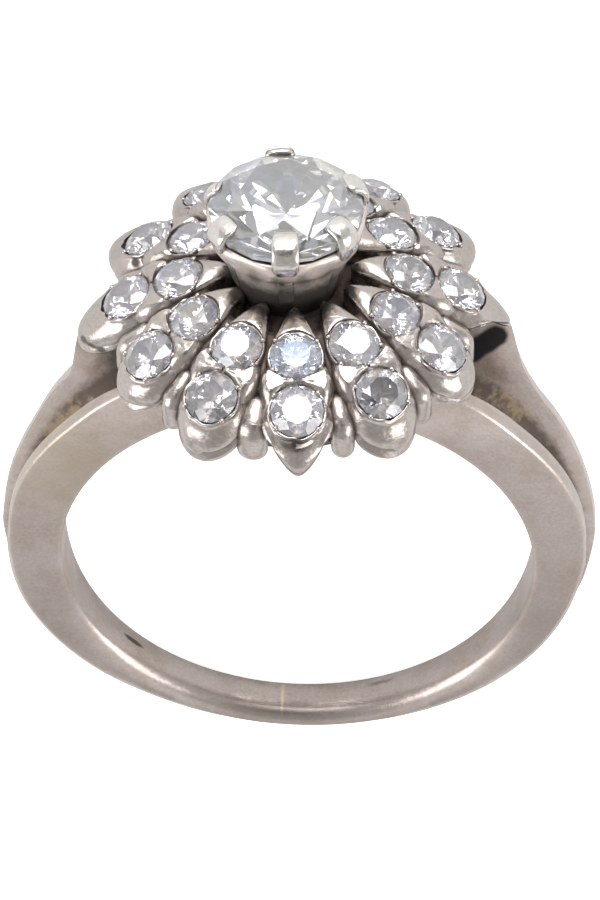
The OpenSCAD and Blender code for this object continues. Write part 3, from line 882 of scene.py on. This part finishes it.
basket = {
    "lean": -0.22, "steps": 120,
    "cup": [(0, 12.6), (0.7, 12.6), (0.7, 13.7), (2.3, 15.8), (2.52, 16.12), (2.62, 16.18), (2.71, 16.14),
            (2.79, 16.0), (2.8, 15.8), (2.74, 15.56), (2.62, 15.34), (2.48, 15.2), (2.37, 15.1), (2.28, 14.9),
            (2.18, 14.5), (2.06, 14.0), (1.95, 13.6), (1.8, 13.1), (1.7, 12.5), (1.7, 11.9), (0, 11.9)],
    # lens shaped hollows in the rail, as [direction from the front by the right, spread, push]
    "lenses": [(-27, 17, 0.1), (28, 19, 0.1), (82, 18, 0.08), (-86, 20, 0.08), (148, 22, 0.08),
               (-142, 22, 0.08)],
    "lensZ": 15.72, "lensHalf": 0.42, "lensFrom": 2.4, "lensRound": 0.7,
    # prongs as [direction, half width, thickness, how far it reaches in, squareness, how much lower it is]
    "prongs": [(2, 0.48, 0.2, 0.86, 0.5, 0.0), (52, 0.47, 0.24, 0.62, 0.85, 0.0),
               (111, 0.46, 0.16, 0.5, 0.6, 0.1), (187, 0.52, 0.27, 0.3, 0.9, 0.24),
               (256, 0.28, 0.14, 0.3, 0.8, 0.2), (303, 0.46, 0.17, 0.58, 0.5, 0.2)],
    # a prong's rows as [x, z, width share, thickness share], where the foot has a thickness of its own,
    # the bend's z is from the prong's top, and the end's x is from the tip
    "foot": [(1.9, 13.7, 0.5), (2.0, 14.0, 0.55), (2.26, 15.0, 0.6), (2.6, 15.6, 0.65)], "footThick": 0.1,
    "stem": [(2.7, 15.95, 0.85, 0.8), (2.76, 16.15, 1, 1)],
    "bend": [(2.79, -0.5, 1, 1), (2.72, -0.32, 1, 1), (2.58, -0.16, 1, 1), (2.4, -0.08, 1, 0.95)],
    "halfway": (-0.04, 0.97, 0.85), "end": [(0, 0.85, 0.65), (-0.06, 0.66, 0.42), (-0.085, 0.4, 0.16)],
    "reachFrom": 2.72, "top": 17.0,
}


def makeBasket():
    bm = bmesh.new()
    spinProfile(bm, basket["cup"], basket["steps"])
    for vert in bm.verts:
        radius, direction = vert.co.to_2d().length, degrees(atan2(vert.co.x, -vert.co.y))
        for middle, spreadOut, push in basket["lenses"]:
            off = (direction - middle + 180) % 360 - 180
            up = (vert.co.z - basket["lensZ"]) / basket["lensHalf"]
            hollow = max(0.0, 1 - (off / spreadOut) ** 2 - up ** 2)
            if hollow and radius > basket["lensFrom"]:
                vert.co.xy *= 1 - push * hollow ** basket["lensRound"] / radius
    bmesh.ops.translate(bm, verts=bm.verts, vec=(basket["lean"], 0, 0))
    finishPiece("basketCup", bm, metals["railWhiteGold"])


def prongRows(half, thick, reach, lower):
    tipX, top = basket["reachFrom"] - reach, basket["top"] - lower
    rows = [(x, z, half * wide, basket["footThick"]) for x, z, wide in basket["foot"]]
    rows += [(x, z, half * wide, thick * deep) for x, z, wide, deep in basket["stem"]]
    rows += [(x, top + z, half * wide, thick * deep) for x, z, wide, deep in basket["bend"]]
    z, wide, deep = basket["halfway"]
    rows.append(((basket["bend"][-1][0] + tipX) / 2, top + z, half * wide, thick * deep))
    rows += [(tipX + x, top, half * wide, thick * deep) for x, wide, deep in basket["end"]]
    return rows


def makeProngs():
    bm = bmesh.new()
    for turn, half, thick, reach, squareness, lower in basket["prongs"]:
        part = bmesh.new()
        sweep(part, prongRows(half, thick, reach, lower), squareness=squareness)
        place = Matrix.Translation((basket["lean"], 0, 0)) @ Matrix.Rotation(radians(turn - 90), 4, "Z")
        joinPart(bm, part, place)
    finishPiece("prongs", bm, metals["prongWhiteGold"], merge=0.0005)


makeBasket()
makeProngs()
print("basket made")

stone = {
    # the facets' tints, darkest share, and how much light goes through
    "cool": (0.83, 0.86, 0.97, 1), "warm": (1.0, 0.97, 0.9, 1), "darkest": 0.55, "lit": 0.7, "through": 0.84,
    "ior": 2.1, "rough": 0.0, "shine": (1.0, 1.0, 1.0, 1), "snap": 0.05,
    # patches of fire, as the facets behind break the light up
    "patchScale": 1.9, "patchDark": 0.96, "fire": 0.8, "fireCool": (0.88, 0.92, 1.0, 1),
    "fireWarm": (1.0, 0.965, 0.86, 1),
    # the tint of the small stones, and the heights between which it starts
    "smallTint": (0.955, 0.94, 1.0, 1), "smallEdge": (14.0, 13.5),
}

# Stones that look unlike the others: two coloured darker as painted shade, and a bluish one at the front
stoneKinds = {
    "clearStone": {},
    "paintedShadeStone": {"darkest": 0.25, "patchDark": 0.75},
    "blueStone": {"shine": (0.5, 0.6, 0.8, 1), "smallTint": (0.86, 0.9, 1.0, 1)},
}
stonesOfKind = {"paintedShadeStone": ("outer_stone_02", "outer_stone_12"), "blueStone": ("inner_stone_01",)}


def makeStoneMaterial(name, changes):
    look = {**stone, **changes}
    material, tree, shader = newMaterial(name)
    normal = tree.nodes.new("ShaderNodeTexCoord").outputs["Normal"]
    facet = calcVector(tree, "SNAP", normal, [look["snap"]] * 3)
    chance = put(tree, "ShaderNodeTexWhiteNoise", {"Vector": facet}, noise_dimensions="3D").outputs
    bright = spread(tree, chance["Value"], 0.0, look["lit"], look["darkest"], 1.0)
    split = put(tree, "ShaderNodeSeparateColor", {0: chance["Color"]}).outputs
    tint = blend(tree, split[1], look["cool"], look["warm"])
    place = uprightPlace(tree)
    height = put(tree, "ShaderNodeSeparateXYZ", {0: place}).outputs["Z"]
    small = spread(tree, height, *look["smallEdge"])
    tint = blend(tree, small, tint, blend(tree, 1.0, tint, look["smallTint"], "MULTIPLY"))
    values = {"Vector": place, "Scale": look["patchScale"]}
    patches = put(tree, "ShaderNodeTexVoronoi", values, distance="MANHATTAN").outputs["Color"]
    fire = put(tree, "ShaderNodeSeparateColor", {0: patches}).outputs
    fireTint = blend(tree, fire[0], look["fireCool"], look["fireWarm"])
    tint = blend(tree, look["fire"], tint, fireTint, "MULTIPLY")
    bright = calc(tree, "MULTIPLY", bright, spread(tree, fire[1], 0.0, 1.0, look["patchDark"], 1.0))
    colour = blend(tree, 1.0, tint, bright, "MULTIPLY")
    fill(tree, shader, {"Base Color": colour, "Roughness": look["rough"], "IOR": look["ior"],
                        "Transmission Weight": look["through"], "Specular Tint": look["shine"]})
    return material


stoneLooks = {name: makeStoneMaterial(name, changes) for name, changes in stoneKinds.items()}
for name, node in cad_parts.items():
    if name != "ring_metal":
        node.data.materials.clear()
        kind = next((kind for kind, names in stonesOfKind.items() if name in names), "clearStone")
        node.data.materials.append(stoneLooks[kind])
print("stones finished")

studio = {
    # the room's light by height, and its dark side as a direction and an edge
    "roomColour": (1, 0.99, 0.98, 1), "horizon": 0.75, "zenith": 0.6, "rise": (0.25, 0.95),
    "darkSide": (-0.011, -0.465, 0.885), "darkEdge": (0.955, 0.99), "darkShare": 0.2,
    "floorColour": (0.88, 0.88, 0.88, 1), "floorRough": 0.9, "floorSize": 1.5, "floorGlow": 0.7,
    # name, place, size and power of each soft box
    "boxes": [
        ("topBox", (0.02, -0.36, 0.16), (0.3, 0.22), 1.15),
        ("frontCard", (0.0, -0.3, 0.03), (0.12, 0.05), 0.1),
        ("leftLamp", (0.118, -0.36, 0.03), (0.08, 0.05), 0.14),
        ("rightLamp", (-0.118, -0.36, 0.03), (0.08, 0.05), 0.14),
        ("leftBox", (0.34, 0.02, 0.2), (0.22, 0.3), 0.7),
        ("rightBox", (-0.34, 0.05, 0.22), (0.22, 0.3), 0.7),
        ("backCard", (0.0, 0.031, 0.029), (0.09, 0.02), 0.003),
    ],
}


def makeWorld():
    world = bpy.data.worlds.new("studioWorld")
    world.use_nodes = True
    tree = world.node_tree
    direction = tree.nodes.new("ShaderNodeTexCoord").outputs["Generated"]
    height = put(tree, "ShaderNodeSeparateXYZ", {0: direction}).outputs["Z"]
    low, high = studio["rise"]
    values = {"Value": height, "From Min": low, "From Max": high, "To Min": studio["horizon"],
              "To Max": studio["zenith"]}
    light = put(tree, "ShaderNodeMapRange", values).outputs["Result"]
    toCamera = calcVector(tree, "DOT_PRODUCT", direction, studio["darkSide"])
    shade = spread(tree, toCamera, *studio["darkEdge"], 1.0, studio["darkShare"])
    strength = calc(tree, "MULTIPLY", light, shade)
    fill(tree, tree.nodes["Background"], {"Strength": strength, "Color": studio["roomColour"]})
    bpy.context.scene.world = world


def makeFloor():
    bm = bmesh.new()
    bmesh.ops.create_grid(bm, x_segments=1, y_segments=1, size=studio["floorSize"])
    floor = addObject("studioFloor", meshFrom("studioFloor", bm))
    material, tree, shader = newMaterial("paleFloor")
    seen = tree.nodes.new("ShaderNodeLightPath").outputs["Is Camera Ray"]
    glow = calc(tree, "MULTIPLY", seen, studio["floorGlow"])
    fill(tree, shader, {"Base Color": studio["floorColour"], "Roughness": studio["floorRough"],
                        "Emission Color": (1, 1, 1, 1), "Emission Strength": glow})
    floor.data.materials.append(material)


def makeLights():
    for name, spot, size, power in studio["boxes"]:
        data = bpy.data.lights.new(name, "AREA")
        data.shape = "RECTANGLE"
        data.size, data.size_y = size
        data.energy = power
        light = addObject(name, data)
        light.location = spot
        light.rotation_euler = Vector(spot).to_track_quat("Z", "Y").to_euler()   # aimed at the ring
        light.visible_camera = False


makeWorld()
makeFloor()
makeLights()
bpy.context.scene.view_settings.view_transform = "Standard"
print("studio made")
